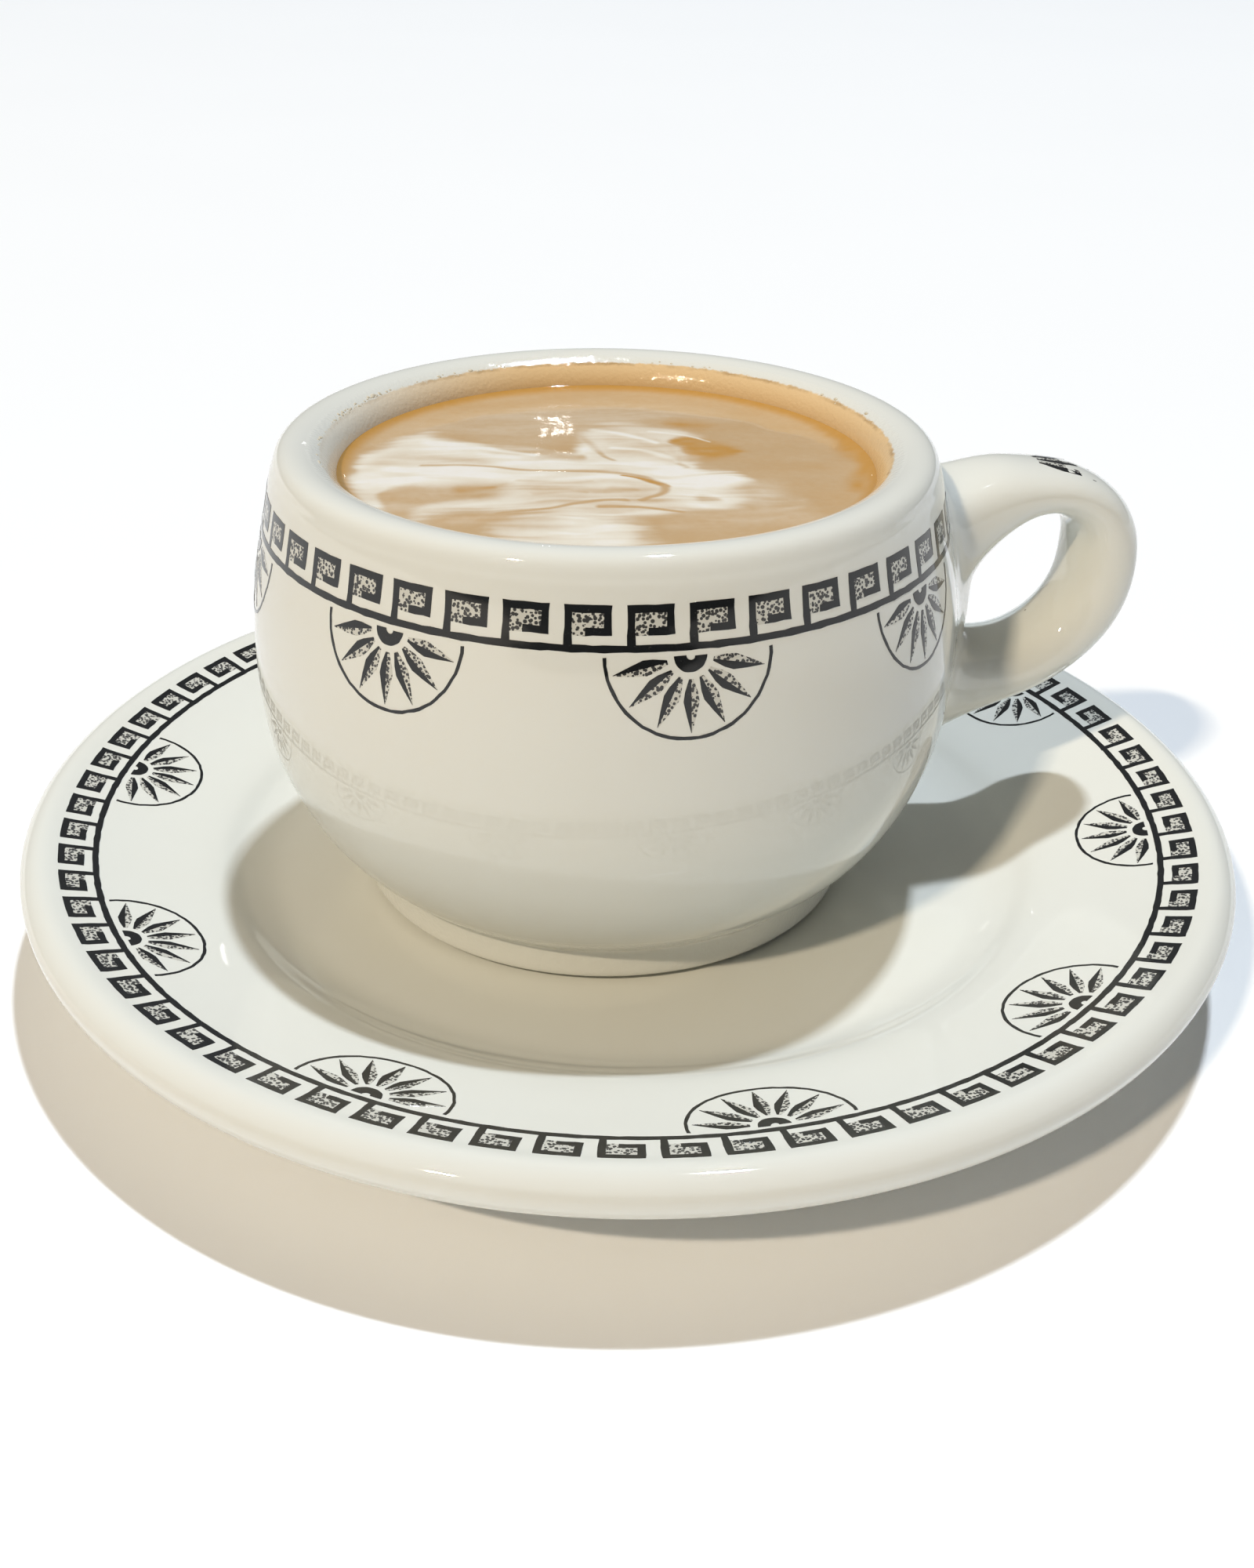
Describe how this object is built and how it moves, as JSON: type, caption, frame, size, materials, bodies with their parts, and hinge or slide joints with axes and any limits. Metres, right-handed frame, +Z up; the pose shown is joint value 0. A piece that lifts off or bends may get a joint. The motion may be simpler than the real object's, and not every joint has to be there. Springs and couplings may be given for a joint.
{
  "type": "cafe au lait in a cup and saucer",
  "caption": "Cafe au lait in a thick rolled-lip glazed cup with a pierced ear handle, standing on a wide-rimmed saucer.",
  "frame": {"origin": "on the table, under the middle of the saucer", "axes": "+Z up, +X from the saucer's middle along the cup's handle, +Y to its left when looking out along it"},
  "size_m": [0.152, 0.152, 0.0639],
  "materials": {
    "glazed_china": "glossy ivory glaze over a black transfer pattern",
    "milky_coffee": "smooth milky drink with paler foam swirls"
  },
  "bodies": {
    "root": {"saucer": "glazed_china", "cup": "glazed_china", "cafe_au_lait": "milky_coffee"}
  },
  "joints": []
}
